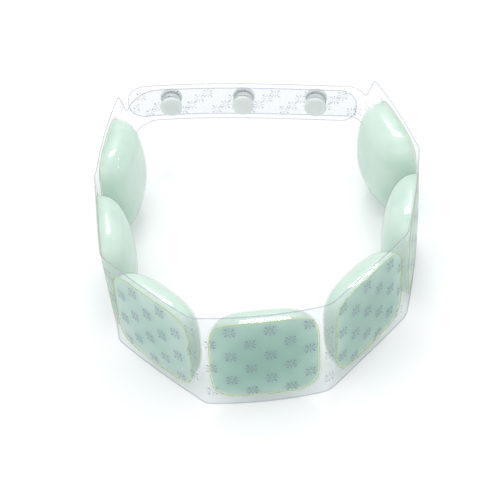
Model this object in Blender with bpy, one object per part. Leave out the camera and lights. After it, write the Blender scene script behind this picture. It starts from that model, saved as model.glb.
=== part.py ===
"""Cooling neck ring: a band of clear film with seven gel pillows, snapped shut at the back.

The ring stands on its lower edge. +Z is up, the front panel faces -Y, and the two tabs of the band
overlap at +Y as a strap with two layers. The origin is at the middle of the footprint.
Lengths are in metres, and names that end in _DEG are angles in degrees.
"""

import math
from collections import namedtuple

import bmesh
import bpy
from mathutils import Matrix, Vector

MM = 0.001

# Pockets: the outline that the weld draws on the band
POCKET_LENGTH = 52.7 * MM
POCKET_HEIGHT = 47.9 * MM
POCKET_CORNER = 11.0 * MM

# Band of film: seven panels with a soft hinge between each two
FILM_THICKNESS = 1.0 * MM
TOP_MARGIN = 4.3 * MM
BOTTOM_MARGIN = 5.2 * MM
HINGE_LENGTH = 10.3 * MM
PANEL_FLAT_MARGIN = 1.0 * MM
FRONT_HEADING_DEG = 4.0

# Pillows: the formed skin, and the gel in it
PILLOW_DEPTH = 20.0 * MM
PILLOW_FULLNESS = 2.7
CROWN_POWER = 2.2
SKIN_THICKNESS = 0.8 * MM
FLANGE_WIDTH = 1.5 * MM

# Tabs: each leaves the band through a shoulder and turns along the back
TAB_HEIGHT = 21.0 * MM
TAB_CORNER = 9.0 * MM
MOST_CORNER = 0.48
END_MARGIN = 4.0 * MM
SHOULDER_LENGTH = 14.3 * MM
LEFT_TAB_REACH = 18.4 * MM
RIGHT_TAB_REACH = 5.8 * MM
LEFT_BEND_RUN = 10.5 * MM
RIGHT_BEND_RUN = 6.5 * MM
BEND_HANDLE = 0.56
LAYER_SPACING = 4.2 * MM
STRAP_BOW = 3.0 * MM
STRAP_BOW_SKEW = 0.5
FREE_END_CLEARANCE = 1.8 * MM
FREE_END_OVERRUN = 5.3 * MM

# Press snaps
SNAP_COUNT = 3
SNAP_INSET_LEFT = 18.6 * MM
SNAP_INSET_RIGHT = 24.6 * MM
CAP_DIAMETER = 12.4 * MM
CAP_THICKNESS = 2.6 * MM
CAP_ROUNDING = 1.3 * MM
RING_DIAMETER = 10.4 * MM
POST_DIAMETER = 3.2 * MM
SOCKET_BORE = 6.4 * MM
STUD_NOSE = 5.2 * MM
SEAT_THICKNESS = 0.7 * MM

# Clearance between pieces that touch on the real ring
GAP = 0.3 * MM

# The panels from the left rear end round the front to the right rear end: how far each one's top leans out
# of the ring, how far the band turns along the panel and in the hinge after it, and the pillow's depth as a
# share of PILLOW_DEPTH.
Panel = namedtuple("Panel", "name lean_deg bow_deg turn_deg plumpness")
PANELS = (
    Panel("left_rear", 2.3, 8.8, 8.5, 0.88),
    Panel("left_side", 4.0, 0.5, 35.2, 0.76),
    Panel("left_front", 2.5, 6.5, 38.7, 0.86),
    Panel("front", -0.8, 17.4, 35.4, 0.92),
    Panel("right_front", 0.2, 1.7, 26.2, 0.86),
    Panel("right_side", -0.4, 5.9, 19.9, 0.83),
    Panel("right_rear", 1.0, 8.2, 0.0, 1.00),
)
FRONT_PANEL = 3

# Fineness of the curves
PANEL_STEPS = 5
HINGE_STEPS = 6
BEND_STEPS = 8
STRAP_STEPS = 14
EDGE_STEPS = 8
PILLOW_SIDES = 24
PILLOW_RINGS_DEG = (0, 15, 34, 54, 74)
SNAP_SIDES = 20
ROUND_STEPS = 3

BAND_HEIGHT = BOTTOM_MARGIN + POCKET_HEIGHT + TOP_MARGIN
POCKET_MIDDLE = BOTTOM_MARGIN + POCKET_HEIGHT / 2
PANEL_FLAT = POCKET_LENGTH + 2 * PANEL_FLAT_MARGIN
HINGE_ARC = HINGE_LENGTH - 2 * PANEL_FLAT_MARGIN
FILM_FACE = FILM_THICKNESS / 2

# A place on the band's middle surface: the plan point at half height, the direction that the band runs in,
# the lean of its upright lines, and the heights of its lower and upper edge.
Station = namedtuple("Station", "point heading lean low high")


def clear_scene():
    for obj in list(bpy.data.objects):
        bpy.data.objects.remove(obj, do_unlink=True)


def direction(heading):
    return Vector((math.cos(heading), math.sin(heading)))


def outward(heading):
    """The level direction out of the ring, for a band that runs with this heading."""
    return Vector((math.sin(heading), -math.cos(heading)))


def walk(point, heading, length, turn):
    """The point and heading after an arc of this length that turns left by turn."""
    chord = length if abs(turn) < 1e-9 else length * math.sin(turn / 2) / (turn / 2)
    return point + direction(heading + turn / 2) * chord, heading + turn


def smooth(share):
    """A share from 0 to 1 with a level start and end."""
    return 0.5 - 0.5 * math.cos(math.pi * min(max(share, 0.0), 1.0))


def blend(start, end, share):
    return start + (end - start) * share


def arc_stations(point, heading, length, turn, leans, steps):
    """Stations at the start of an arc and at its inner steps, then the arc's end as (point, heading)."""
    stations = []
    for step in range(steps):
        share = step / steps
        here, ahead = walk(point, heading, length * share, turn * share)
        stations.append(Station(here, ahead, blend(*leans, smooth(share)), 0.0, BAND_HEIGHT))
    return stations, walk(point, heading, length, turn)


def band_stations():
    """The stations of the seven panels and six hinges, and each panel's middle as (point, heading)."""
    leans = [math.radians(panel.lean_deg) for panel in PANELS]
    bows = [math.radians(panel.bow_deg) for panel in PANELS]
    turns = [math.radians(panel.turn_deg) for panel in PANELS]
    point = Vector((0.0, 0.0))
    heading = math.radians(FRONT_HEADING_DEG) - bows[FRONT_PANEL] / 2
    heading -= sum(bows[:FRONT_PANEL]) + sum(turns[:FRONT_PANEL])
    stations = []
    middles = []
    for lean, ahead_lean, bow, turn in zip(leans, leans[1:] + leans[-1:], bows, turns):
        middles.append(walk(point, heading, PANEL_FLAT / 2, bow / 2))
        panel, (point, heading) = arc_stations(point, heading, PANEL_FLAT, bow, (lean, lean), PANEL_STEPS)
        stations += panel
        if len(middles) == len(PANELS):
            stations.append(Station(point, heading, lean, 0.0, BAND_HEIGHT))
            break
        hinge, (point, heading) = arc_stations(
            point, heading, HINGE_ARC, turn, (lean, ahead_lean), HINGE_STEPS
        )
        stations += hinge
    return stations, middles


def tab_edges(share):
    """The lower and upper edge where the shoulder is this share of the way from band to tab."""
    fall = smooth(share)
    middle = BAND_HEIGHT / 2
    return (
        blend(0.0, middle - TAB_HEIGHT / 2, fall),
        blend(BAND_HEIGHT, middle + TAB_HEIGHT / 2, fall),
    )


class Strap:
    """The line midway between the strap's layers, from the left corner to the right one, bowed outward."""

    def __init__(self, left, right):
        run = right - left
        self.start = left
        self.length = run.length
        self.heading = math.atan2(run.y, run.x)
        self.back = -outward(self.heading)

    def place(self, distance, offset=0.0):
        """The plan point and heading at this distance from the left corner, offset towards the back."""
        share = distance / self.length
        rise, skew = share * (1 - share), 1 + STRAP_BOW_SKEW * (1 - 2 * share)
        bow = 4 * STRAP_BOW * rise * skew
        slope = 4 * STRAP_BOW * ((1 - 2 * share) * skew - 2 * STRAP_BOW_SKEW * rise) / self.length
        heading = self.heading + math.atan(slope)
        point = self.start + direction(self.heading) * distance + self.back * bow
        return point - outward(heading) * offset, heading


def bend(start, heading, end, end_heading):
    """Points and headings along a smooth bend, from start to end. Its handles are a share of the way to the
    corner where the two straight runs would meet."""
    first, last = direction(heading), direction(end_heading)
    turn = first.cross(last)
    span = end - start
    leave = start + first * (BEND_HANDLE * span.cross(last) / turn)
    arrive = end + last * (BEND_HANDLE * span.cross(first) / turn)
    places = []
    for step in range(1, BEND_STEPS + 1):
        share = step / BEND_STEPS
        rest = 1 - share
        point = start * rest**3 + leave * 3 * rest**2 * share + arrive * 3 * rest * share**2 + end * share**3
        slope = (leave - start) * rest**2 + (arrive - leave) * 2 * rest * share + (end - arrive) * share**2
        places.append((point, math.atan2(slope.y, slope.x)))
    return places


def snap_distances(strap):
    run = strap.length - SNAP_INSET_LEFT - SNAP_INSET_RIGHT
    return [SNAP_INSET_LEFT + run * index / (SNAP_COUNT - 1) for index in range(SNAP_COUNT)]


def end_shrink(remaining):
    """How far a tab's edges draw in at this distance from its free end, for round corners."""
    corner = min(TAB_CORNER, MOST_CORNER * TAB_HEIGHT)
    if remaining >= corner:
        return 0.0
    return corner - math.sqrt(max(corner**2 - (corner - remaining) ** 2, 0.0))


def tab_stations(start, heading, lean, strap, offset, bend_end, free_end):
    """The stations of one tab from the band's end outwards, running with heading, to its free end.

    offset says which layer of the strap it is. bend_end and free_end are distances along the strap. The
    heading is that of the tab as it leaves the band, so on the left it runs against the band's direction.
    """
    stations = []
    reverse = math.pi if free_end < bend_end else 0.0
    for step in range(EDGE_STEPS + 1):
        share = step / EDGE_STEPS
        point = walk(start, heading, END_MARGIN + SHOULDER_LENGTH * share, 0.0)[0]
        stations.append(Station(point, heading, lean, *tab_edges(share)))

    low, high = tab_edges(1.0)
    end, along = strap.place(bend_end, offset)
    places = bend(stations[-1].point, heading, end, along + reverse)
    for step, (point, ahead) in enumerate(places, 1):
        upright = 1 - smooth(step / BEND_STEPS)
        stations.append(Station(point, ahead, lean * upright, low, high))

    side = 1 if reverse else -1
    corner_start = free_end + side * min(TAB_CORNER, MOST_CORNER * TAB_HEIGHT)
    distances = [blend(bend_end, corner_start, step / STRAP_STEPS) for step in range(1, STRAP_STEPS)]
    distances += [
        free_end + (corner_start - free_end) * (1 - math.sin(math.pi / 2 * step / EDGE_STEPS))
        for step in range(EDGE_STEPS + 1)
    ]
    for distance in distances:
        point, along = strap.place(distance, offset)
        shrink = end_shrink(abs(distance - free_end))
        stations.append(Station(point, along + reverse, 0.0, low + shrink, high - shrink))
    return stations


def reversed_stations(stations):
    """The same stations, run the other way."""
    return [
        station._replace(heading=station.heading + math.pi, lean=-station.lean)
        for station in reversed(stations)
    ]


def film_ring(station):
    """The four corners of the film's section at a station, in order round it."""
    normal = outward(station.heading)

    def corner(height, side):
        out = math.tan(station.lean) * (height - BAND_HEIGHT / 2) + side * FILM_FACE
        place = station.point + normal * out
        return Vector((place.x, place.y, height))

    return [
        corner(station.low, 1),
        corner(station.high, 1),
        corner(station.high, -1),
        corner(station.low, -1),
    ]


def loft(name, rings):
    """A closed mesh through rings of points. A ring of one point is a tip, and a first or last ring of
    more points is closed with a face."""
    form = bmesh.new()
    rows = [[form.verts.new(point) for point in ring] for ring in rings]
    for row, following in zip(rows, rows[1:]):
        count = max(len(row), len(following))
        for index in range(count):
            after = (index + 1) % count
            corners = [
                row[index % len(row)],
                row[after % len(row)],
                following[after % len(following)],
                following[index % len(following)],
            ]
            form.faces.new(list(dict.fromkeys(corners)))
    for row in (rows[0], rows[-1]):
        if len(row) > 1:
            form.faces.new(row)
    bmesh.ops.recalc_face_normals(form, faces=form.faces)
    mesh = bpy.data.meshes.new(name)
    form.to_mesh(mesh)
    form.free()
    return mesh


def outline(half_length, half_height, depth, power):
    """A ring round the Y axis at this depth, between an ellipse (power 2) and a rectangle (high power)."""
    ring = []
    for side in range(PILLOW_SIDES):
        angle = 2 * math.pi * side / PILLOW_SIDES
        across, up = math.cos(angle), math.sin(angle)
        reach = (abs(across) ** power + abs(up) ** power) ** (-1 / power)
        ring.append(Vector((half_length * across * reach, depth, half_height * up * reach)))
    return ring


def pocket_power(half_length, half_height):
    """The power whose outline passes through the middle of the pocket's round corners."""
    half = (half_length + half_height) / 2
    corner = min(POCKET_CORNER, 0.9 * half)
    return math.log(0.5) / math.log(1 - (1 - math.sqrt(0.5)) * corner / half)


def dome_rings(half_length, half_height, base, rise):
    """Rings of a pillow from its foot at base to its tip, rounder towards the tip."""
    foot_power = pocket_power(half_length, half_height)
    rings = []
    for angle_deg in PILLOW_RINGS_DEG:
        angle = math.radians(angle_deg)
        share = math.cos(angle) ** (2 / PILLOW_FULLNESS)
        depth = base + rise * math.sin(angle) ** (2 / PILLOW_FULLNESS)
        power = blend(foot_power, CROWN_POWER, math.sin(angle))
        rings.append(outline(half_length * share, half_height * share, depth, power))
    return rings + [[Vector((0.0, base + rise, 0.0))]]


def bent(rings, bow):
    """Rings bent about an upright axis, so that the plane of the pocket follows a panel that turns by bow."""
    curve = bow / PANEL_FLAT
    moved = []
    for ring in rings:
        moved.append([])
        for point in ring:
            (along, inward), turn = walk(Vector((0.0, 0.0)), 0.0, point.x, point.x * curve)
            inner = Vector((-math.sin(turn), math.cos(turn))) * point.y
            moved[-1].append(Vector((along + inner.x, inward + inner.y, point.z)))
    return moved


def skin_mesh(depth, bow):
    """The formed skin: a thin dome, open towards the film, with a flange round its foot."""
    base = FILM_FACE + GAP
    foot = base + SKIN_THICKNESS
    half_length, half_height = POCKET_LENGTH / 2, POCKET_HEIGHT / 2
    inner_rise = depth - SKIN_THICKNESS
    inside = dome_rings(half_length - SKIN_THICKNESS, half_height - SKIN_THICKNESS, base, inner_rise)
    outside = dome_rings(half_length, half_height, foot, inner_rise)
    power = pocket_power(half_length, half_height)
    flange = [outline(half_length + FLANGE_WIDTH, half_height + FLANGE_WIDTH, y, power) for y in (base, foot)]
    return loft("pillow_skin", bent(inside[::-1] + flange + outside, bow))


def gel_mesh(depth, bow):
    """The gel that fills a skin, with a face against the film that follows the panel's bow."""
    base = FILM_FACE + GAP
    shrink = SKIN_THICKNESS + GAP
    half_length, half_height = POCKET_LENGTH / 2 - shrink, POCKET_HEIGHT / 2 - shrink
    back = [[Vector((0.0, base, 0.0))], outline(half_length / 2, half_height / 2, base, CROWN_POWER)]
    return loft("gel_fill", bent(back + dome_rings(half_length, half_height, base, depth - shrink), bow))


def turned(name, profile):
    """A solid turned about the Y axis from a profile of (radius, y). A radius of 0 is a tip."""
    rings = []
    for radius, depth in profile:
        if radius == 0:
            rings.append([Vector((0.0, depth, 0.0))])
            continue
        angles = [2 * math.pi * side / SNAP_SIDES for side in range(SNAP_SIDES)]
        rings.append([Vector((radius * math.cos(a), depth, radius * math.sin(a))) for a in angles])
    return loft(name, rings)


def bored(name, profile):
    """A ring turned about the Y axis from a closed profile of (radius, y) that stays off the axis."""
    form = bmesh.new()
    rows = []
    for radius, depth in profile:
        angles = [2 * math.pi * side / SNAP_SIDES for side in range(SNAP_SIDES)]
        rows.append([form.verts.new((radius * math.cos(a), depth, radius * math.sin(a))) for a in angles])
    for row, following in zip(rows, rows[1:] + rows[:1]):
        for side in range(SNAP_SIDES):
            after = (side + 1) % SNAP_SIDES
            form.faces.new((row[side], row[after], following[after], following[side]))
    bmesh.ops.recalc_face_normals(form, faces=form.faces)
    mesh = bpy.data.meshes.new(name)
    form.to_mesh(mesh)
    form.free()
    return mesh


def cap_profile(sign):
    """Profile of a cap with its post. sign is the way that the round face looks along Y.

    The cap lies on the outer face of its layer, and its post ends level with the seat of the socket or
    stud on the other face.
    """
    layer = sign * LAYER_SPACING / 2
    under = layer + sign * (FILM_FACE + GAP)
    top = under + sign * CAP_THICKNESS
    radius = CAP_DIAMETER / 2
    rounding = min(CAP_ROUNDING, 0.9 * CAP_THICKNESS)
    tip = layer - sign * (FILM_FACE + GAP + SEAT_THICKNESS)
    profile = [(0, tip), (POST_DIAMETER / 2, tip), (POST_DIAMETER / 2, under), (radius, under)]
    for step in range(ROUND_STEPS + 1):
        angle = math.pi / 2 * step / ROUND_STEPS
        inset = rounding * (1 - math.cos(angle))
        profile.append((radius - inset, top - sign * rounding * (1 - math.sin(angle))))
    return profile + [(0, top)]


def socket_profile():
    """The socket lies on the inner layer: a base with a hole for the post, and a wall round a bore."""
    back = -LAYER_SPACING / 2 + FILM_FACE + GAP
    face = -GAP / 2
    hole = POST_DIAMETER / 2 + GAP
    seat = back + SEAT_THICKNESS
    return [
        (hole, back),
        (RING_DIAMETER / 2, back),
        (RING_DIAMETER / 2, face),
        (SOCKET_BORE / 2, face),
        (SOCKET_BORE / 2, seat),
        (hole, seat),
    ]


def stud_profile():
    """The stud lies on the outer layer: a base with a hole for the post, and a nose in the socket's bore."""
    back = LAYER_SPACING / 2 - FILM_FACE - GAP
    face = GAP / 2
    hole = POST_DIAMETER / 2 + GAP
    nose = SEAT_THICKNESS + GAP - back
    return [
        (hole, back),
        (RING_DIAMETER / 2, back),
        (RING_DIAMETER / 2, face),
        (STUD_NOSE / 2, face),
        (STUD_NOSE / 2, nose),
        (hole, nose),
    ]


def material(name, colour, roughness, alpha=1.0, transmission=0.0):
    finish = bpy.data.materials.new(name)
    finish.use_nodes = True
    shader = finish.node_tree.nodes["Principled BSDF"]
    shader.inputs["Base Color"].default_value = (*colour, 1.0)
    shader.inputs["Roughness"].default_value = roughness
    shader.inputs["Metallic"].default_value = 0.0
    shader.inputs["Alpha"].default_value = alpha
    shader.inputs["Transmission Weight"].default_value = transmission
    finish.diffuse_color = (*colour, alpha)
    return finish


def add_object(name, mesh, finish, matrix=None):
    obj = bpy.data.objects.new(name, mesh)
    bpy.context.scene.collection.objects.link(obj)
    obj.matrix_basis = matrix or Matrix.Identity(4)
    if finish and not mesh.materials:
        mesh.materials.append(finish)
        mesh.shade_smooth()
        mesh.set_sharp_from_angle(angle=math.radians(40))
    return obj


def panel_matrix(point, heading, lean):
    """Local X runs along the band, Y points into the ring and Z up the panel, from the pocket's middle."""
    out = outward(heading)
    level_out = Vector((out.x, out.y, 0.0))
    along = Vector((*direction(heading), 0.0))
    up = Vector((0.0, 0.0, 1.0)) * math.cos(lean) + level_out * math.sin(lean)
    inward = up.cross(along)
    shift = math.tan(lean) * (POCKET_MIDDLE - BAND_HEIGHT / 2)
    centre = Vector((point.x, point.y, POCKET_MIDDLE)) + level_out * shift
    axes = Matrix((along, inward, up)).transposed().to_4x4()
    return Matrix.Translation(centre) @ axes


def snap_matrix(strap, distance):
    """Local X runs along the strap and Y out of the ring, from a point midway between the layers."""
    point, heading = strap.place(distance)
    centre = Vector((point.x, point.y, BAND_HEIGHT / 2))
    return Matrix.Translation(centre) @ Matrix.Rotation(heading, 4, "Z")


def make_film(stations, strap, finish):
    """The film band with both tabs, one solid, with a hole through each layer for each snap's posts."""
    film = add_object("film_band", loft("film_band", [film_ring(station) for station in stations]), finish)
    radius = POST_DIAMETER / 2 + GAP
    reach = LAYER_SPACING / 2 + 2 * FILM_THICKNESS
    for number, distance in enumerate(snap_distances(strap), 1):
        hole = turned("post_hole", [(0, -reach), (radius, -reach), (radius, reach), (0, reach)])
        cutter = add_object(f"post_hole_{number}", hole, None, snap_matrix(strap, distance))
        cutter.hide_render = True
        cutter.display_type = "WIRE"
        cut = film.modifiers.new(f"post_hole_{number}", "BOOLEAN")
        cut.operation = "DIFFERENCE"
        cut.object = cutter
    return film


def make_pillows(middles, skin_finish, gel_finish):
    for number, (panel, (point, heading)) in enumerate(zip(PANELS, middles), 1):
        matrix = panel_matrix(point, heading, math.radians(panel.lean_deg))
        shape = (panel.plumpness * PILLOW_DEPTH, math.radians(panel.bow_deg))
        add_object(f"pillow_skin_{number}", skin_mesh(*shape), skin_finish, matrix)
        add_object(f"gel_fill_{number}", gel_mesh(*shape), gel_finish, matrix)


def make_snaps(strap, finish):
    pieces = {
        "snap_inner_cap": turned("snap_inner_cap", cap_profile(-1)),
        "snap_socket": bored("snap_socket", socket_profile()),
        "snap_stud": bored("snap_stud", stud_profile()),
        "snap_outer_cap": turned("snap_outer_cap", cap_profile(1)),
    }
    for number, distance in enumerate(snap_distances(strap), 1):
        for name, mesh in pieces.items():
            add_object(f"{name}_{number}", mesh, finish, snap_matrix(strap, distance))


def centre_on_origin():
    """Hangs every object on one empty, placed so that the footprint's middle is at the origin."""
    objects = list(bpy.data.objects)
    shown = [obj for obj in objects if not obj.hide_render]
    corners = [obj.matrix_basis @ vertex.co for obj in shown for vertex in obj.data.vertices]
    low = Vector(min(corner[axis] for corner in corners) for axis in range(3))
    high = Vector(max(corner[axis] for corner in corners) for axis in range(3))
    origin = bpy.data.objects.new("ring_origin", None)
    bpy.context.scene.collection.objects.link(origin)
    origin.location = (-(low.x + high.x) / 2, -(low.y + high.y) / 2, -low.z)
    for obj in objects:
        obj.parent = origin


def main():
    clear_scene()
    clear_film = material("clear_tpu_film", (0.86, 0.88, 0.92), 0.12, alpha=0.35)
    formed_skin = material("formed_tpu_skin", (0.80, 0.93, 0.88), 0.10, alpha=0.45)
    mint_gel = material("mint_gel", (0.55, 0.80, 0.70), 0.25)
    milky_snap = material("milky_acetal", (0.78, 0.82, 0.80), 0.35)

    band, middles = band_stations()
    first, last = band[0], band[-1]
    left_heading = first.heading + math.pi
    shoulder = END_MARGIN + SHOULDER_LENGTH
    left_corner = walk(first.point, left_heading, shoulder + LEFT_TAB_REACH, 0.0)[0]
    right_corner = walk(last.point, last.heading, shoulder + RIGHT_TAB_REACH, 0.0)[0]
    strap = Strap(left_corner, right_corner)

    left_tab = tab_stations(
        first.point,
        left_heading,
        -first.lean,
        strap,
        -LAYER_SPACING / 2,
        LEFT_BEND_RUN,
        strap.length - FREE_END_CLEARANCE,
    )
    right_tab = tab_stations(
        last.point,
        last.heading,
        last.lean,
        strap,
        LAYER_SPACING / 2,
        strap.length - RIGHT_BEND_RUN,
        -FREE_END_OVERRUN,
    )
    stations = reversed_stations(left_tab) + band + right_tab

    make_film(stations, strap, clear_film)
    make_pillows(middles, formed_skin, mint_gel)
    make_snaps(strap, milky_snap)
    centre_on_origin()


main()
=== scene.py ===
# %% [markdown]
# # Cooling neck ring
#
# A neck ring of clear, printed film with seven plump gel pillows, snapped shut at the back. The solids
# of the ring are already packed, so this file gives them their looks. It first loads those solids, and
# then makes each thin or soft piece again as a fine mesh on the same curve, gives each one its material,
# and ends with the lights and the camera.

import math
from bisect import bisect_right
from collections import namedtuple

import bpy
from mathutils import Matrix, Vector


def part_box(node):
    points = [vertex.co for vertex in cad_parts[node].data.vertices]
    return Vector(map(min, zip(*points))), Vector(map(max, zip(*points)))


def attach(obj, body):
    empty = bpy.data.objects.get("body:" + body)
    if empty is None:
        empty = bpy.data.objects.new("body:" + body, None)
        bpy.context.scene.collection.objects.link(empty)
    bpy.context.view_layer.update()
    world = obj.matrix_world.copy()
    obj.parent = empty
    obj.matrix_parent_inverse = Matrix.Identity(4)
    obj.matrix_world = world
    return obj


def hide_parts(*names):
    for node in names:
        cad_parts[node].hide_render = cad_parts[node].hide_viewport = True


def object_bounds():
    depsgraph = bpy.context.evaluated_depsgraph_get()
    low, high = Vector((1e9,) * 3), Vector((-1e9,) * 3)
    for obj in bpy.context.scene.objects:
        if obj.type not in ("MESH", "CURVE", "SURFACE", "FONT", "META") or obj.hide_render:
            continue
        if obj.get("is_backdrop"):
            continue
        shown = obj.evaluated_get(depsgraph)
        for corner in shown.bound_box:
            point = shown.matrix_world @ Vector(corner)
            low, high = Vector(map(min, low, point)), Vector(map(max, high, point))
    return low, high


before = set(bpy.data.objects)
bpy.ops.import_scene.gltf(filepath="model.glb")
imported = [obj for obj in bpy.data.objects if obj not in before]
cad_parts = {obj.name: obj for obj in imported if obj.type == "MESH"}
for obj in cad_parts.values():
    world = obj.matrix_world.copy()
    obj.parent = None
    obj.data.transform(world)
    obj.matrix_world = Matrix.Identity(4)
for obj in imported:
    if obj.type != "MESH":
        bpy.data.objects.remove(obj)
CAD_BOX = [list(corner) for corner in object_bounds()]
print("solids:", len(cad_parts), "box in mm:", [[round(v * 1000, 1) for v in c] for c in CAD_BOX])

# %% [markdown]
# ## Sizes
#
# The sizes are those of the solids, in metres. Each pocket holds one pillow, and a table has one line for
# each of the seven: how far the panel leans, how far the band turns along it and in the hinge after it, how
# full the pillow is, and how deep its colour looks through the film. Reading shape from a short table keeps
# the seven pillows alike and still lets each one sit as it does on the real ring.

# %% Sizes
MM = 0.001
POCKET_LENGTH, POCKET_HEIGHT, POCKET_CORNER = 52.7 * MM, 47.9 * MM, 11.0 * MM
TOP_MARGIN, BOTTOM_MARGIN = 4.3 * MM, 5.2 * MM
PANEL_FLAT, HINGE_ARC = 54.7 * MM, 8.3 * MM
FRONT_HEADING_DEG = 4.0
PILLOW_DEPTH, PILLOW_FULLNESS, CROWN_POWER = 20.0 * MM, 2.7, 2.2
TAB_HEIGHT, TAB_CORNER = 21.0 * MM, 9.0 * MM
END_MARGIN, SHOULDER_LENGTH = 4.0 * MM, 14.3 * MM
LEFT_TAB_REACH, RIGHT_TAB_REACH = 18.4 * MM, 5.8 * MM
LEFT_BEND_RUN, RIGHT_BEND_RUN, BEND_HANDLE = 10.5 * MM, 6.5 * MM, 0.56
LAYER_SPACING, STRAP_BOW, STRAP_BOW_SKEW = 4.2 * MM, 3.0 * MM, 0.5
FREE_END_CLEARANCE, FREE_END_OVERRUN = 1.8 * MM, 5.3 * MM
SNAP_INSET_LEFT, SNAP_INSET_RIGHT, SNAP_COUNT = 18.6 * MM, 24.6 * MM, 3

Panel = namedtuple("Panel", "lean_deg bow_deg turn_deg plumpness colour_depth")
PANELS = (
    Panel(2.3, 8.8, 8.5, 0.88, 0.7),
    Panel(4.0, 0.5, 35.2, 0.76, 0.7),
    Panel(2.5, 6.5, 38.7, 0.86, 0.55),
    Panel(-0.8, 17.4, 35.4, 0.92, 1.0),
    Panel(0.2, 1.7, 26.2, 0.86, 0.95),
    Panel(-0.4, 5.9, 19.9, 0.83, 0.7),
    Panel(1.0, 8.2, 0.0, 1.00, 0.7),
)
FRONT_PANEL = 3
BAND_HEIGHT = BOTTOM_MARGIN + POCKET_HEIGHT + TOP_MARGIN
POCKET_MIDDLE = BOTTOM_MARGIN + POCKET_HEIGHT / 2
UP = Vector((0.0, 0.0, 1.0))
print("band height in mm:", round(BAND_HEIGHT / MM, 1), "pillows:", len(PANELS))

# %% [markdown]
# ## The curve of the band
#
# Seen from above, the film is one long ribbon. It could be drawn by hand as a Bezier curve, but walking
# along it is simpler: a panel is an arc that turns a little, a hinge is a short arc that turns a lot, and
# each tab ends in one smooth bend onto the strap. The walk leaves a list of spots. Each spot knows where it
# is, which way is out of the ring, how the film leans there, and how high its two edges are.

# %% Walk along the band
PANEL_STEPS, HINGE_STEPS, BEND_STEPS, STRAP_STEPS, EDGE_STEPS = 28, 8, 18, 60, 14
Spot = namedtuple("Spot", "point heading lean low high")


def direction(heading):
    return Vector((math.cos(heading), math.sin(heading)))


def walk(point, heading, length, turn):
    """The point and heading after an arc of this length that turns left by turn."""
    chord = length if abs(turn) < 1e-9 else length * math.sin(turn / 2) / (turn / 2)
    return point + direction(heading + turn / 2) * chord, heading + turn


def smooth(share):
    return 0.5 - 0.5 * math.cos(math.pi * min(max(share, 0.0), 1.0))


def blend(start, end, share):
    return start + (end - start) * share


def walk_band():
    """The spots of the seven panels and six hinges, from the left rear end to the right one."""
    leans, bows, turns = ([math.radians(panel[column]) for panel in PANELS] for column in range(3))
    point = Vector((0.0, 0.0))
    heading = math.radians(FRONT_HEADING_DEG) - bows[FRONT_PANEL] / 2
    heading -= sum(bows[:FRONT_PANEL]) + sum(turns[:FRONT_PANEL])
    spots = []
    for index, (lean, bow, turn) in enumerate(zip(leans, bows, turns)):
        arcs = [(PANEL_FLAT, bow, lean, PANEL_STEPS)]
        if index + 1 < len(PANELS):
            arcs.append((HINGE_ARC, turn, leans[index + 1], HINGE_STEPS))
        for length, arc_turn, end_lean, steps in arcs:
            for step in range(steps):
                share = step / steps
                here, ahead = walk(point, heading, length * share, arc_turn * share)
                spots.append(Spot(here, ahead, blend(lean, end_lean, smooth(share)), 0.0, BAND_HEIGHT))
            point, heading = walk(point, heading, length, arc_turn)
    return spots + [Spot(point, heading, leans[-1], 0.0, BAND_HEIGHT)]


band = walk_band()
print("spots on the band:", len(band))

# %% [markdown]
# ## The strap at the back
#
# The two tabs of the ribbon overlap behind the neck. The line midway between them is nearly straight and
# bows out a little. Each tab leaves its end of the band through a narrowing shoulder, bends onto that line
# and ends in a round corner.

# %% Walk along the tabs
def strap_place(distance, offset=0.0):
    """The plan point and heading at this distance along the strap, offset towards the back."""
    share = distance / strap_length
    rise, skew = share * (1 - share), 1 + STRAP_BOW_SKEW * (1 - 2 * share)
    slope = 4 * STRAP_BOW * ((1 - 2 * share) * skew - 2 * STRAP_BOW_SKEW * rise) / strap_length
    heading = strap_heading + math.atan(slope)
    back = Vector((-math.sin(strap_heading), math.cos(strap_heading)))
    point = strap_start + direction(strap_heading) * distance + back * (4 * STRAP_BOW * rise * skew)
    return point + Vector((-math.sin(heading), math.cos(heading))) * offset, heading


def bend(start, heading, end, end_heading):
    """Points and headings along a smooth bend between two straight runs."""
    first, last = direction(heading), direction(end_heading)
    span, turn = end - start, first.cross(last)
    leave = start + first * (BEND_HANDLE * span.cross(last) / turn)
    arrive = end + last * (BEND_HANDLE * span.cross(first) / turn)
    for step in range(1, BEND_STEPS + 1):
        share, rest = step / BEND_STEPS, 1 - step / BEND_STEPS
        point = start * rest**3 + leave * 3 * rest**2 * share + arrive * 3 * rest * share**2 + end * share**3
        slope = (leave - start) * rest**2 + (arrive - leave) * 2 * rest * share + (end - arrive) * share**2
        yield point, math.atan2(slope.y, slope.x)


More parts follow.
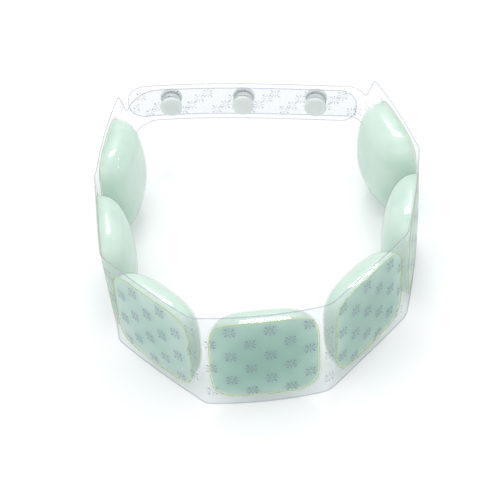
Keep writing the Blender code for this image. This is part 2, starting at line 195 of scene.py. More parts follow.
def walk_tab(start, heading, lean, offset, bend_end, free_end):
    """The spots of one tab, from the band's end outwards."""
    spots = []
    middle = BAND_HEIGHT / 2
    low, high = middle - TAB_HEIGHT / 2, middle + TAB_HEIGHT / 2
    for step in range(EDGE_STEPS + 1):
        share = step / EDGE_STEPS
        point = start + direction(heading) * (END_MARGIN + SHOULDER_LENGTH * share)
        top = blend(BAND_HEIGHT, high, smooth(share))
        spots.append(Spot(point, heading, lean, low * smooth(share), top))

    reverse = math.pi if free_end < bend_end else 0.0
    end, along = strap_place(bend_end, offset)
    for step, (point, ahead) in enumerate(bend(spots[-1].point, heading, end, along + reverse), 1):
        spots.append(Spot(point, ahead, lean * (1 - smooth(step / BEND_STEPS)), low, high))

    corner_start = free_end + (TAB_CORNER if reverse else -TAB_CORNER)
    distances = [blend(bend_end, corner_start, step / STRAP_STEPS) for step in range(1, STRAP_STEPS)]
    distances += [
        free_end + (corner_start - free_end) * (1 - math.sin(math.pi / 2 * step / EDGE_STEPS))
        for step in range(EDGE_STEPS + 1)
    ]
    for distance in distances:
        point, along = strap_place(distance, offset)
        left = TAB_CORNER - min(abs(distance - free_end), TAB_CORNER)
        shrink = TAB_CORNER - math.sqrt(TAB_CORNER**2 - left**2)
        spots.append(Spot(point, along + reverse, 0.0, low + shrink, high - shrink))
    return spots


first, last = band[0], band[-1]
shoulder = END_MARGIN + SHOULDER_LENGTH
strap_start = first.point - direction(first.heading) * (shoulder + LEFT_TAB_REACH)
strap_run = last.point + direction(last.heading) * (shoulder + RIGHT_TAB_REACH) - strap_start
strap_length, strap_heading = strap_run.length, math.atan2(strap_run.y, strap_run.x)

left_tab = walk_tab(
    first.point, first.heading + math.pi, -first.lean,
    -LAYER_SPACING / 2, LEFT_BEND_RUN, strap_length - FREE_END_CLEARANCE,
)
right_tab = walk_tab(
    last.point, last.heading, last.lean,
    LAYER_SPACING / 2, strap_length - RIGHT_BEND_RUN, -FREE_END_OVERRUN,
)
ribbon = [spot._replace(heading=spot.heading + math.pi, lean=-spot.lean) for spot in reversed(left_tab)]
ribbon += band + right_tab
print("strap length in mm:", round(strap_length / MM, 1), "spots in all:", len(ribbon))

# %% [markdown]
# ## From the ribbon to space
#
# A print, a weld line or a pillow is easiest to draw on the flat ribbon, by distance along it and height.
# One function then wraps any such flat point onto the curved ribbon, with a distance out of the ring. The
# walk started at an arbitrary place, so the whole ribbon is first moved to where the solid film lies.

# %% Wrap flat points onto the ribbon
def out_of(spot):
    """The direction out of the ring, square to the leaning film."""
    level = Vector((math.sin(spot.heading), -math.cos(spot.heading), 0.0))
    return level * math.cos(spot.lean) - UP * math.sin(spot.lean), level


film_low, film_high = (Vector(corner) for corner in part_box("film_band"))
xs, ys = zip(*(spot.point for spot in ribbon))
ribbon_middle = Vector(((min(xs) + max(xs)) / 2, (min(ys) + max(ys)) / 2))
film_middle = (film_low + film_high) / 2
shift = film_middle.xy - ribbon_middle
ribbon = [spot._replace(point=spot.point + shift) for spot in ribbon]
strap_start = strap_start + shift

runs = [0.0]
for before, after in zip(ribbon, ribbon[1:]):
    runs.append(runs[-1] + (after.point - before.point).length)
panel_starts = [len(left_tab) + index * (PANEL_STEPS + HINGE_STEPS) for index in range(len(PANELS))]
MIDDLES = [runs[start] + PANEL_FLAT / 2 for start in panel_starts]


def wrap(run, height, out=0.0):
    """The place in space of a flat point of the ribbon, moved out of the ring by out."""
    index = min(max(bisect_right(runs, run) - 1, 0), len(runs) - 2)
    share = (run - runs[index]) / max(runs[index + 1] - runs[index], 1e-9)
    here, ahead = ribbon[index], ribbon[index + 1]
    point = blend(here.point, ahead.point, share)
    normals = [blend(a, b, share).normalized() for a, b in zip(out_of(here), out_of(ahead))]
    lean = blend(here.lean, ahead.lean, share)
    level_shift = math.tan(lean) * (height - BAND_HEIGHT / 2)
    return Vector((point.x, point.y, height)) + normals[1] * level_shift + normals[0] * out


def edges(run):
    """The heights of the film's lower and upper edge at this run."""
    index = min(max(bisect_right(runs, run) - 1, 0), len(runs) - 2)
    share = (run - runs[index]) / max(runs[index + 1] - runs[index], 1e-9)
    here, ahead = ribbon[index], ribbon[index + 1]
    return blend(here.low, ahead.low, share), blend(here.high, ahead.high, share)


print("ribbon length in mm:", round(runs[-1] / MM, 1), "moved by mm:", [round(v / MM, 1) for v in shift])

# %% [markdown]
# ## Meshes from rings
#
# Almost every piece here is a skin stretched over a row of rings: a sheet, a bead, a dome or a turned snap.
# One function joins such rings with faces, one makes a piece of the points and faces, and one draws a bead.

# %% Join rings into a mesh
def new_piece(name, points, faces, materials, sharp_deg=40.0):
    mesh = bpy.data.meshes.new(name)
    mesh.from_pydata([tuple(point) for point in points], [], faces)
    for finish in materials:
        mesh.materials.append(finish)
    mesh.shade_smooth()
    mesh.set_sharp_from_angle(angle=math.radians(sharp_deg))
    piece = bpy.data.objects.new(name, mesh)
    bpy.context.scene.collection.objects.link(piece)
    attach(piece, "root")
    return piece


def ring_faces(ring_count, sides, round_ring=True, round_row=False):
    """Faces between rings of the same number of points. Either way round may be closed."""
    faces = []
    for row in range(ring_count if round_row else ring_count - 1):
        following = (row + 1) % ring_count
        for side in range(sides if round_ring else sides - 1):
            after = (side + 1) % sides
            faces.append(
                (row * sides + side, row * sides + after, following * sides + after, following * sides + side)
            )
    return faces


def bead(path, outs, half_width, half_height, sides=8):
    """Points and faces of a closed bead that follows a closed path. outs are the directions out of it."""
    points = []
    for index, (place, out) in enumerate(zip(path, outs)):
        tangent = (path[(index + 1) % len(path)] - path[index - 1]).normalized()
        across = tangent.cross(out).normalized()
        rise = across.cross(tangent)
        for side in range(sides):
            angle = 2 * math.pi * side / sides
            sideways, upright = half_width * math.cos(angle), half_height * math.sin(angle)
            points.append(place + across * sideways + rise * upright)
    return points, ring_faces(len(path), sides, round_row=True)


# %% [markdown]
# ## Colours and nodes
#
# Colours are written as the hex values that a colour picker shows. Blender works with linear light, so one
# function turns them. A second small function adds a node, sets its settings and joins its inputs.

# %% Colour and node helpers
def linear(colour):
    """A colour such as #C5DDD0 as linear red, green, blue and alpha."""
    channels = [int(colour[place : place + 2], 16) / 255 for place in (1, 3, 5)]
    return (*(c / 12.92 if c <= 0.04045 else ((c + 0.055) / 1.055) ** 2.4 for c in channels), 1.0)


def add(finish, kind, settings=None, **inputs):
    """Adds a node to a material. An input is a value, or another node's output that it is linked to."""
    node = finish.node_tree.nodes.new(kind)
    for name, value in (settings or {}).items():
        setattr(node, name, value)
    for name, value in inputs.items():
        key = int(name[1:]) if name[1:].isdigit() else name.replace("_", " ")
        socket = node.inputs[key]
        if isinstance(value, bpy.types.NodeSocket):
            finish.node_tree.links.new(value, socket)
        else:
            socket.default_value = value
    return node


def new_finish(name):
    finish = bpy.data.materials.new(name)
    finish.use_nodes = True
    finish.node_tree.nodes.clear()
    return finish


def end_with(finish, shader):
    add(finish, "ShaderNodeOutputMaterial", Surface=shader.outputs[0])
    return finish


# %% [markdown]
# ## Clear film
#
# The film is thermoplastic polyurethane, half a millimetre thick and calendered smooth. It lets nearly all
# light through, adds a faint milky haze, and mirrors more the flatter the eye looks along it. Full glass
# would bend the view and cost many bounces, so the film is a see-through shader with a little of a white
# one in it, and a mirror over both. A soft, wide ripple keeps its reflections from looking like a window
# pane's.

# %% Clear film and its cut edge
RIPPLE_SCALE = 55.0  # ripples about 18 mm long
RIPPLE_RISE = 0.8 * MM
MIRROR_AHEAD = 0.04  # the share that a plastic face mirrors when seen straight on
SLANT_POWER = 4.5


def clear_film(name, tint, haze_colour, haze, gloss):
    """A see-through sheet. haze is the share that looks milky, and gloss is the mirror gained at a slant."""
    finish = new_finish(name)
    place = add(finish, "ShaderNodeTexCoord")
    ripple = add(
        finish, "ShaderNodeTexNoise", Vector=place.outputs["Object"], Scale=RIPPLE_SCALE, Detail=2.0
    )
    bump = add(
        finish, "ShaderNodeBump", Strength=0.12, Distance=RIPPLE_RISE, Height=ripple.outputs["Fac"]
    )
    through = add(finish, "ShaderNodeBsdfTransparent", Color=linear(tint))
    milky = add(finish, "ShaderNodeBsdfDiffuse", Color=linear(haze_colour))
    mirror = add(finish, "ShaderNodeBsdfGlossy", Roughness=0.07, Normal=bump.outputs["Normal"])
    slant = add(finish, "ShaderNodeLayerWeight", Blend=0.5, Normal=bump.outputs["Normal"])
    steep = add(finish, "ShaderNodeMath", {"operation": "POWER"}, _0=slant.outputs["Facing"], _1=SLANT_POWER)
    share = add(
        finish, "ShaderNodeMath", {"operation": "MULTIPLY_ADD", "use_clamp": True},
        _0=steep.outputs[0], _1=gloss, _2=MIRROR_AHEAD,
    )
    body = add(finish, "ShaderNodeMixShader", Fac=haze, _1=through.outputs[0], _2=milky.outputs[0])
    mix = add(finish, "ShaderNodeMixShader", Fac=share.outputs[0], _1=body.outputs[0], _2=mirror.outputs[0])
    return end_with(finish, mix)


tpu_film = clear_film("calendered_tpu_film", "#F8F9FA", "#DEE1E6", 0.14, 0.5)
formed_skin = clear_film("thermoformed_tpu_skin", "#FAFCFB", "#E2ECE7", 0.05, 0.45)

# The trimmed edge of the film carries light along the sheet, so it shows as a fine grey line.
cut_edge = clear_film("trimmed_tpu_edge", "#F0F1F4", "#C3C6D0", 0.22, 0.3)
print("clear finishes:", tpu_film.name, formed_skin.name, cut_edge.name)

# %% [markdown]
# ## The film sheet
#
# The band and both tabs are cut from one sheet, so they are one mesh here too. Behind each pocket the film
# is drawn a little outward by the gel. A thin bead follows the whole outline, for the trimmed edge.

# %% Make the film sheet
FILM_ROWS = 30
POCKET_SWELL = 1.1 * MM
SWELL_POWER = 0.8
EDGE_RADIUS = 0.32 * MM


def pocket_power(half_length, half_height):
    """The power of the outline that passes through the middle of the pocket's round corners."""
    half = (half_length + half_height) / 2
    return math.log(0.5) / math.log(1 - (1 - math.sqrt(0.5)) * POCKET_CORNER / half)


POCKET_POWER = pocket_power(POCKET_LENGTH / 2, POCKET_HEIGHT / 2)


def swell(run, height):
    """How far the film stands out where the gel presses on it."""
    along = min((run - middle for middle in MIDDLES), key=abs)
    across, up = abs(along) / (POCKET_LENGTH / 2), abs(height - POCKET_MIDDLE) / (POCKET_HEIGHT / 2)
    reach = across**POCKET_POWER + up**POCKET_POWER
    if reach >= 1:
        return 0.0
    return POCKET_SWELL * (1 - reach ** (2 / POCKET_POWER)) ** SWELL_POWER


sheet_points = []
for spot, run in zip(ribbon, runs):
    for row in range(FILM_ROWS + 1):
        height = blend(spot.low, spot.high, row / FILM_ROWS)
        sheet_points.append(wrap(run, height, swell(run, height)))
sheet_faces = ring_faces(len(ribbon), FILM_ROWS + 1, round_ring=False)

outline = [(run, spot.high) for run, spot in zip(runs, ribbon)]
outline += [(run, spot.low) for run, spot in reversed(list(zip(runs, ribbon)))]
edge_path = [wrap(run, height) for run, height in outline]
edge_outs = [wrap(run, height, MM) - wrap(run, height) for run, height in outline]
edge_points, edge_faces = bead(edge_path, edge_outs, EDGE_RADIUS, EDGE_RADIUS)
base = len(sheet_points)
all_faces = sheet_faces + [tuple(base + corner for corner in face) for face in edge_faces]

film = new_piece("film_sheet", sheet_points + edge_points, all_faces, [tpu_film, cut_edge])
for polygon in film.data.polygons[len(sheet_faces) :]:
    polygon.material_index = 1
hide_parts("film_band")
print("film faces:", len(film.data.polygons))

# %% [markdown]
# ## Gel
#
# The filling is a phase-change gel, which stays cool for as long as it melts. It is milky mint: light goes a
# few millimetres in and comes out again, so the shading is soft and has no hard terminator. Where the gel is
# deep behind the flat side it looks teal, and it pales towards the weld. A value stored on each vertex says
# how deep it is there, and the material turns that value into colour. On the domes the same value is painted
# shade: deeper low on each pillow, paler towards its top and crown. The print on the film throws a soft blue
# shadow into the gel, which is a second stored value.

# %% Gel material
CLOUD_SCALE = 70.0  # clouds about 14 mm across
GLOW_REACH = 3.0 * MM


def gel_finish():
    finish = new_finish("phase_change_gel")
    place = add(finish, "ShaderNodeTexCoord")
    # The stored depth is the gel's depth behind the flat side, and painted shade on the domes.
    depth = add(finish, "ShaderNodeAttribute", {"attribute_name": "depth"})
    print_shadow = add(finish, "ShaderNodeAttribute", {"attribute_name": "print_shadow"})

    cloud = add(
        finish, "ShaderNodeTexNoise", Vector=place.outputs["Object"], Scale=CLOUD_SCALE, Detail=3.0
    )
    drift = add(
        finish, "ShaderNodeMapRange", Value=cloud.outputs["Fac"],
        From_Min=0.3, From_Max=0.7, To_Min=-0.12, To_Max=0.12,
    )
    deep = add(
        finish, "ShaderNodeMath", {"operation": "ADD", "use_clamp": True},
        _0=depth.outputs["Fac"], _1=drift.outputs[0],
    )
    ramp = add(finish, "ShaderNodeValToRGB", Fac=deep.outputs[0])
    stops = ramp.color_ramp.elements
    stops[0].position, stops[0].color = 0.0, linear("#D3E5DA")
    stops[1].position, stops[1].color = 1.0, linear("#7DB59D")
    middle = stops.new(0.45)
    middle.color = linear("#ACD2C0")

    shaded = add(
        finish, "ShaderNodeMix", {"data_type": "RGBA", "blend_type": "MULTIPLY"},
        Factor=print_shadow.outputs["Fac"], A=ramp.outputs["Color"], B=linear("#B3C3DC"),
    )
    body = add(
        finish, "ShaderNodeBsdfPrincipled", Base_Color=shaded.outputs["Result"], Roughness=0.35, IOR=1.42,
    )
    body.inputs["Subsurface Weight"].default_value = 0.35
    body.inputs["Subsurface Radius"].default_value = (1.0, 1.1, 1.0)
    body.inputs["Subsurface Scale"].default_value = GLOW_REACH
    return end_with(finish, body)


mint_gel = gel_finish()

# %% [markdown]
# ## Pillows
#
# A pillow bulges into the ring like a well filled cushion: nearly upright at its foot, round at its corners
# and softly flat on top. Its outline changes from the round-cornered pocket at the foot to an oval at the
# top, so each ring of the mesh is one outline at one depth. The film side follows the swell of the film.

# %% Make the gel fillings
PILLOW_SIDES, DOME_RINGS, BACK_RINGS = 96, 26, 16
DOME_EASE, BACK_EASE = 1.15, 0.8
SMALLEST_RING = 0.02
SKIN_CLEARANCE = 0.5 * MM
FILM_CLEARANCE = 0.35 * MM

# How deep the colour is at the pocket's rim and at the crown, and how much painted shade it gains low on the
# pillow.
RIM_DEPTH, CROWN_DEPTH, LOW_SHADE_GAIN, LOW_SHADE_FADE, DEPTH_EASE = 0.4, 0.05, 0.28, 0.6, 0.9
SHADOW_STRENGTH, SHADOW_BLUR = 0.4, 2.6 * MM

# The print has staggered columns. Its first flake is placed from the middle of the front pocket.
PRINT_COLUMN, PRINT_ROW, PRINT_ROWS = 9.5 * MM, 15.7 * MM, range(-3, 4)
PRINT_PHASE_RUN, PRINT_PHASE_HEIGHT = 2.8 * MM, 48.0 * MM


def outline_at(half_length, half_height, power):
    """Flat points of an outline between an oval (power 2) and a rectangle (a high power)."""
    for side in range(PILLOW_SIDES):
        angle = 2 * math.pi * side / PILLOW_SIDES
        across, up = math.cos(angle), math.sin(angle)
        reach = (abs(across) ** power + abs(up) ** power) ** (-1 / power)
        yield half_length * across * reach, half_height * up * reach


def dome(half_length, half_height, foot, rise):
    """Rows of (along, up, depth) from a pillow's foot to its tip."""
    for ring in range(DOME_RINGS):
        angle = math.pi / 2 * (ring / DOME_RINGS) ** DOME_EASE
        share = math.cos(angle) ** (2 / PILLOW_FULLNESS)
        depth = foot + rise * math.sin(angle) ** (2 / PILLOW_FULLNESS)
        power = blend(POCKET_POWER, CROWN_POWER, math.sin(angle))
        yield [(x, z, depth) for x, z in outline_at(half_length * share, half_height * share, power)]
    yield [(0.0, 0.0, foot + rise)]


def close_fan(faces, ring_start, tip):
    """Joins the last ring to its tip."""
    for side in range(PILLOW_SIDES):
        faces.append((ring_start + side, ring_start + (side + 1) % PILLOW_SIDES, tip))


def flakes():
    """The flat place of each snowflake of the print."""
    start = MIDDLES[FRONT_PANEL] + PRINT_PHASE_RUN
    before = math.ceil((start - runs[0]) / PRINT_COLUMN)
    after = math.ceil((runs[-1] - start) / PRINT_COLUMN)
    for column in range(-before, after + 1):
        run = start + column * PRINT_COLUMN
        for row in PRINT_ROWS:
            height = PRINT_PHASE_HEIGHT + (row - 0.5 * (column % 2)) * PRINT_ROW
            if runs[0] < run < runs[-1]:
                yield run, height


FLAKES = list(flakes())
gels = []
for number, (panel, middle) in enumerate(zip(PANELS, MIDDLES), 1):
    half_length = POCKET_LENGTH / 2 - SKIN_CLEARANCE
    half_height = POCKET_HEIGHT / 2 - SKIN_CLEARANCE
    foot, depth = FILM_CLEARANCE, panel.plumpness * PILLOW_DEPTH - SKIN_CLEARANCE
    points, tints_and_shade, shadows = [], [], []
    for ring in range(BACK_RINGS):
        share = blend(SMALLEST_RING, 1.0, (ring / (BACK_RINGS - 1)) ** BACK_EASE)
        for x, z in outline_at(half_length * share, half_height * share, POCKET_POWER):
            run, height = middle + x, POCKET_MIDDLE + z
            points.append(wrap(run, height, swell(run, height) - FILM_CLEARANCE))
            tints_and_shade.append(panel.colour_depth * blend(RIM_DEPTH, 1.0, (1 - share**2) ** DEPTH_EASE))
            near = min((run - along) ** 2 + (height - up) ** 2 for along, up in FLAKES)
            shadows.append(SHADOW_STRENGTH * math.exp(-near / (2 * SHADOW_BLUR**2)))
    for row in dome(half_length, half_height, foot, depth - foot):
        for x, z, inward in row:
            points.append(wrap(middle + x, POCKET_MIDDLE + z, -inward))
            # The dome's colour is painted shade: deeper low on the pillow and near its foot, paler at its top
            # and crown.
            low = 0.5 - z / POCKET_HEIGHT
            tints_and_shade.append(CROWN_DEPTH + LOW_SHADE_GAIN * low**2 * (1 - LOW_SHADE_FADE * inward / depth))
            shadows.append(0.0)
    faces = ring_faces(BACK_RINGS + DOME_RINGS, PILLOW_SIDES)
    faces.append(tuple(range(PILLOW_SIDES)))
    close_fan(faces, (BACK_RINGS + DOME_RINGS - 1) * PILLOW_SIDES, len(points) - 1)
    gel = new_piece(f"gel_{number}", points, faces, [mint_gel], sharp_deg=70.0)
    for name, values in (("depth", tints_and_shade), ("print_shadow", shadows)):
        gel.data.attributes.new(name, "FLOAT", "POINT").data.foreach_set("value", values)
    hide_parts(f"gel_fill_{number}")
    gels.append(gel)
print("gel fillings:", [gel.name for gel in gels])

# %% [markdown]
# ## Skins
#
# Each skin is a sheet that was warmed, drawn into a dish and welded to the flat film. It is clear and very
# glossy, so most of what the eye reads as wetness is here. It gets a flange where it lies on the film.

# %% Make the skins
FLANGE_WIDTH = 1.5 * MM

for number, (panel, middle) in enumerate(zip(PANELS, MIDDLES), 1):
    foot, depth = FILM_CLEARANCE, panel.plumpness * PILLOW_DEPTH
    half_length, half_height = POCKET_LENGTH / 2, POCKET_HEIGHT / 2
    flange = outline_at(half_length + FLANGE_WIDTH, half_height + FLANGE_WIDTH, POCKET_POWER)
    rows = [[(x, z, foot) for x, z in flange], *dome(half_length, half_height, foot, depth - foot)]
    points = [wrap(middle + x, POCKET_MIDDLE + z, -inward) for row in rows for x, z, inward in row]
    faces = ring_faces(DOME_RINGS + 1, PILLOW_SIDES)
    close_fan(faces, DOME_RINGS * PILLOW_SIDES, len(points) - 1)
    skin = new_piece(f"skin_{number}", points, faces, [formed_skin], sharp_deg=50.0)
    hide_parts(f"pillow_skin_{number}")
print("skins:", len(PANELS))

# %% [markdown]
# ## Weld lines
#
# A hot bar presses skin and film together round each pocket. Melted film is pushed aside there and stands up
# as a thin glossy bead. Its yellow-green is painted light: the colour of the gel, bent into view at the
# pocket's edge, painted onto the bead. It is uneven, so it fades in places.

# %% Weld bead
WELD_WIDTH, WELD_HEIGHT, WELD_LIFT = 0.55 * MM, 0.4 * MM, 0.1 * MM
UNEVEN_SCALE = 130.0  # uneven every 8 mm or so


def weld_finish():
    finish = new_finish("melted_tpu_weld_painted_gel_light")
    place = add(finish, "ShaderNodeTexCoord")
    uneven = add(
        finish, "ShaderNodeTexNoise", Vector=place.outputs["Object"], Scale=UNEVEN_SCALE, Detail=2.0
    )
    # The yellow-green tone is painted light: the gel's colour bent into view at the pocket's edge.
    tone = add(
        finish, "ShaderNodeMix", {"data_type": "RGBA"},
        Factor=uneven.outputs["Fac"], A=linear("#DCE6BA"), B=linear("#C5D695"),
    )
    body = add(finish, "ShaderNodeBsdfPrincipled", Base_Color=tone.outputs["Result"], Roughness=0.18)
    through = add(finish, "ShaderNodeBsdfTransparent", Color=linear("#EDF3D8"))
    share = add(
        finish, "ShaderNodeMapRange", Value=uneven.outputs["Fac"],
        From_Min=0.35, From_Max=0.65, To_Min=0.1, To_Max=0.7,
    )
    mix = add(finish, "ShaderNodeMixShader", Fac=share.outputs[0], _1=through.outputs[0], _2=body.outputs[0])
    return end_with(finish, mix)


weld_painted_light = weld_finish()
for number, middle in enumerate(MIDDLES, 1):
    flat = [
        (middle + x, POCKET_MIDDLE + z)
        for x, z in outline_at(POCKET_LENGTH / 2, POCKET_HEIGHT / 2, POCKET_POWER)
    ]
    path = [wrap(run, height, WELD_LIFT) for run, height in flat]
    outs = [wrap(run, height, MM) - wrap(run, height) for run, height in flat]
    points, faces = bead(path, outs, WELD_WIDTH / 2, WELD_HEIGHT / 2)
    weld = new_piece(f"weld_line_{number}", points, faces, [weld_painted_light])
print("weld lines:", len(MIDDLES))

# %% [markdown]
# ## Snowflake print
#
# The film is printed with small grey snowflakes in staggered columns. They are a common winter ornament, and
# this one is made here from eight arms: four long ones with a pair of barbs, and four short plain ones.
# Drawing them as a bump or an image would blur them, so each stroke is a thin strip of ink on the film.

# %% Print the snowflakes
INK_LIFT = 0.12 * MM
STROKE = 0.34 * MM
LONG_ARM, SHORT_ARM, HUB = 3.5 * MM, 3.0 * MM, 0.9 * MM
BARB_AT, BARB_LENGTH, BARB_DEG = 2.1 * MM, 1.1 * MM, 32.0
EDGE_SPACE = 0.7 * LONG_ARM
GRAIN_SCALE = 900.0  # grain of about 1 mm


def ink_finish():
    finish = new_finish("screen_printed_ink")
    place = add(finish, "ShaderNodeTexCoord")
    grain = add(finish, "ShaderNodeTexNoise", Vector=place.outputs["Object"], Scale=GRAIN_SCALE, Detail=2.0)
    body = add(finish, "ShaderNodeBsdfPrincipled", Base_Color=linear("#9CA2B3"), Roughness=0.55)
    through = add(finish, "ShaderNodeBsdfTransparent")
    share = add(
        finish, "ShaderNodeMapRange", Value=grain.outputs["Fac"],
        From_Min=0.3, From_Max=0.7, To_Min=0.4, To_Max=0.75,
    )
    mix = add(finish, "ShaderNodeMixShader", Fac=share.outputs[0], _1=through.outputs[0], _2=body.outputs[0])
    return end_with(finish, mix)


def strokes():
    """Each stroke of a flake as its two flat ends."""
    for arm in range(8):
        angle = math.radians(45 * arm)
        long = arm % 2 == 1
        ahead = direction(angle)
        yield ahead * HUB, ahead * (LONG_ARM if long else SHORT_ARM)
        if long:
            for side in (-1, 1):
                start = ahead * BARB_AT
                yield start, start + direction(angle + side * math.radians(BARB_DEG)) * BARB_LENGTH


STROKES = list(strokes())
points, faces = [], []
for run, height in FLAKES:
    low, high = edges(run)
    if not low + EDGE_SPACE < height < high - EDGE_SPACE:
        continue
    for start, end in STROKES:
        side = (end - start).normalized().orthogonal() * STROKE / 2
        corners = (start - side, start + side, end + side, end - side)
        faces.append(tuple(range(len(points), len(points) + 4)))
        for corner in corners:
            place = (run + corner.x, height + corner.y)
            points.append(wrap(*place, swell(*place) + INK_LIFT))
snowflake_print = new_piece("snowflake_print", points, faces, [ink_finish()])
print("strokes of ink:", len(faces))

# %% [markdown]
# ## Press snaps
#
# The three snaps are moulded from acetal, a milky and slightly waxy plastic. Each cap is a turned shape with
# a rounded rim and a shallow dish where its post was pressed, so a profile spun round an axis makes it.

# %% Turn the snaps
SNAP_SIDES = 64
CAP_RADIUS, CAP_THICKNESS, CAP_ROUNDING, CAP_UNDERCUT = 6.2 * MM, 2.6 * MM, 1.1 * MM, 0.4 * MM
DISH_RADIUS, DISH_DEPTH, DISH_FLOOR_SHARE, RIM_FLAT = 4.3 * MM, 0.3 * MM, 0.75, 0.3 * MM
ROUNDING_STEPS, DISH_STEPS, CENTRE_RADIUS = 8, 6, 0.2 * MM
RING_RADIUS, POST_RADIUS, NOSE_RADIUS, SOCKET_RADIUS = 5.2 * MM, 1.6 * MM, 2.6 * MM, 3.2 * MM
FILM_HALF, GAP, SEAT = 0.5 * MM, 0.3 * MM, 0.7 * MM
GLOW_IN_ACETAL = 1.5 * MM
FINE_SCALE, TONE_SCALE = 1400.0, 160.0  # a fine grain of under 1 mm, and tones about 6 mm across


def acetal_finish():
    finish = new_finish("milky_acetal")
    place = add(finish, "ShaderNodeTexCoord")
    fine = add(finish, "ShaderNodeTexNoise", Vector=place.outputs["Object"], Scale=FINE_SCALE, Detail=3.0)
    cloud = add(finish, "ShaderNodeTexNoise", Vector=place.outputs["Object"], Scale=TONE_SCALE)
    bump = add(finish, "ShaderNodeBump", Strength=0.1, Distance=0.1 * MM, Height=fine.outputs["Fac"])
    tone = add(
        finish, "ShaderNodeMix", {"data_type": "RGBA"},
        Factor=cloud.outputs["Fac"], A=linear("#DDE2E0"), B=linear("#CFD7D4"),
    )
    body = add(
        finish, "ShaderNodeBsdfPrincipled", Base_Color=tone.outputs["Result"], Roughness=0.32, IOR=1.48,
        Normal=bump.outputs["Normal"],
    )
    body.inputs["Subsurface Weight"].default_value = 0.4
    body.inputs["Subsurface Radius"].default_value = (1.0, 1.0, 1.0)
    body.inputs["Subsurface Scale"].default_value = GLOW_IN_ACETAL
    return end_with(finish, body)


def turn(profile, matrix, closed=False):
    """Points and faces of a profile of (radius, depth), spun round the Y axis and placed."""
    points = []
    for radius, depth in profile:
        for side in range(SNAP_SIDES):
            angle = 2 * math.pi * side / SNAP_SIDES
            points.append(matrix @ Vector((radius * math.cos(angle), depth, radius * math.sin(angle))))
    faces = ring_faces(len(profile), SNAP_SIDES, round_row=closed)
    if not closed:
        faces += [tuple(range(SNAP_SIDES)), tuple(range(len(points) - SNAP_SIDES, len(points)))]
    return points, faces


def cap_profile(sign):
    """From the post's tip over the cap's rim to the middle of its dish."""
    layer = sign * LAYER_SPACING / 2
    under = layer + sign * (FILM_HALF + GAP)
    top = under + sign * CAP_THICKNESS
    tip = layer - sign * (FILM_HALF + GAP + SEAT)
    profile = [(POST_RADIUS, tip), (POST_RADIUS, under), (CAP_RADIUS - CAP_UNDERCUT, under)]
    for step in range(ROUNDING_STEPS + 1):
        angle = math.pi / 2 * step / ROUNDING_STEPS
        inset = CAP_ROUNDING * (1 - math.cos(angle))
        profile.append((CAP_RADIUS - inset, top - sign * CAP_ROUNDING * (1 - math.sin(angle))))
    rim, floor_radius = CAP_RADIUS - CAP_ROUNDING - RIM_FLAT, DISH_RADIUS * DISH_FLOOR_SHARE
    for step in range(1, DISH_STEPS + 1):
        share = step / DISH_STEPS
        profile.append((blend(rim, floor_radius, share), top - sign * DISH_DEPTH * smooth(share)))
    return profile + [(CENTRE_RADIUS, top - sign * DISH_DEPTH)]


def ring_profile(sign):
    """The socket (-1) or the stud (1) between the layers."""
    back = sign * (LAYER_SPACING / 2 - FILM_HALF - GAP)
    hole = POST_RADIUS + GAP
    inner, end = (SOCKET_RADIUS, back + SEAT) if sign < 0 else (NOSE_RADIUS, SEAT + GAP - back)
    face = sign * GAP / 2
    return [(hole, back), (RING_RADIUS, back), (RING_RADIUS, face), (inner, face), (inner, end), (hole, end)]


milky_acetal = acetal_finish()
spacing = (strap_length - SNAP_INSET_LEFT - SNAP_INSET_RIGHT) / (SNAP_COUNT - 1)
SNAP_PIECES = (
    ("inner_cap", "snap_inner_cap", cap_profile(-1), False),
    ("socket", "snap_socket", ring_profile(-1), True),
    ("stud", "snap_stud", ring_profile(1), True),
    ("outer_cap", "snap_outer_cap", cap_profile(1), False),
)
for number in range(1, SNAP_COUNT + 1):
    point, heading = strap_place(SNAP_INSET_LEFT + spacing * (number - 1))
    seat = Matrix.Translation((point.x, point.y, BAND_HEIGHT / 2)) @ Matrix.Rotation(heading, 4, "Z")
    for name, node, profile, closed in SNAP_PIECES:
        points, faces = turn(profile, seat, closed)
        snap = new_piece(f"{name}_{number}", points, faces, [milky_acetal], sharp_deg=35.0)
        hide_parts(f"{node}_{number}")
print("snap pieces:", SNAP_COUNT * len(SNAP_PIECES))

# %% [markdown]
# ## Floor, light and camera
#
# Clear film shows by what it reflects and by its haze, so the ring stands on a white floor under a bright,
# even sky. A wide softbox above models the pillows, and three small lamps put the highlights on them. The
# camera looks down from the front at the angle of the photograph, through a long lens.

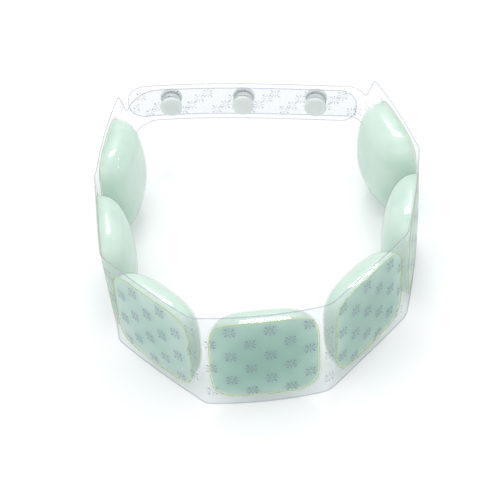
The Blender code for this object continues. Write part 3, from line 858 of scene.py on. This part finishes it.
# %% Floor
FLOOR_SIZE = 6.0
floor_mesh = bpy.data.meshes.new("floor")
half = FLOOR_SIZE / 2
corners = [(-half, -half, 0), (half, -half, 0), (half, half, 0), (-half, half, 0)]
floor_mesh.from_pydata(corners, [], [(0, 1, 2, 3)])
floor = bpy.data.objects.new("floor", floor_mesh)
bpy.context.scene.collection.objects.link(floor)
paper = new_finish("white_paper")
floor_mesh.materials.append(
    end_with(paper, add(paper, "ShaderNodeBsdfPrincipled", Base_Color=linear("#FAFAFB"), Roughness=0.9))
)
floor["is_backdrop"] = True

# %% Sky and lamps
scene = bpy.context.scene
world = bpy.data.worlds.new("studio_sky")
scene.world = world
world.use_nodes = True
world.node_tree.nodes["Background"].inputs["Color"].default_value = linear("#FEFEFF")
world.node_tree.nodes["Background"].inputs["Strength"].default_value = 1.0

Lamp = namedtuple("Lamp", "name place aim width height watts")
LAMPS = (
    Lamp("key_softbox", (-0.5, -0.4, 1.5), (0.0, 0.0, 0.03), 1.6, 1.6, 6.0),
    Lamp("window_softbox", (0.02, 0.72, 0.75), (0.07, 0.0, 0.05), 0.2, 0.1, 1.4),
    Lamp("rear_glint", (0.46, 0.54, 0.72), (-0.073, 0.023, 0.052), 0.06, 0.06, 0.25),
    Lamp("side_glint", (0.68, 0.17, 0.67), (-0.073, -0.044, 0.051), 0.06, 0.06, 0.25),
)
for lamp in LAMPS:
    light = bpy.data.lights.new(lamp.name, "AREA")
    light.shape = "RECTANGLE"
    light.size, light.size_y, light.energy = lamp.width, lamp.height, lamp.watts
    holder = bpy.data.objects.new(lamp.name, light)
    holder.location = lamp.place
    look = Vector(lamp.aim) - Vector(lamp.place)
    holder.rotation_euler = look.to_track_quat("-Z", "Y").to_euler()
    scene.collection.objects.link(holder)
scene.view_settings.view_transform = "Standard"
print("lamps:", [lamp.name for lamp in LAMPS])

# %% Camera
CAMERA_PLACE = (-6.85 * MM, -639.03 * MM, 588.56 * MM)
CAMERA_DOWN_DEG, CAMERA_ROLL_DEG, CAMERA_LENS = 42.46, -2.82, 117.57
camera_data = bpy.data.cameras.new("camera")
camera_data.lens, camera_data.sensor_width = CAMERA_LENS, 36.0
camera = bpy.data.objects.new("camera", camera_data)
tilt = Matrix.Rotation(math.radians(90 - CAMERA_DOWN_DEG), 4, "X")
roll = Matrix.Rotation(math.radians(CAMERA_ROLL_DEG), 4, "Z")
camera.matrix_world = Matrix.Translation(CAMERA_PLACE) @ tilt @ roll
scene.collection.objects.link(camera)
scene.camera = camera

# %% Sizes and finish
LOOK_BOX = [list(corner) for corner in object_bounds()]
print("visual box in mm:", [[round(v * 1000, 1) for v in c] for c in LOOK_BOX])
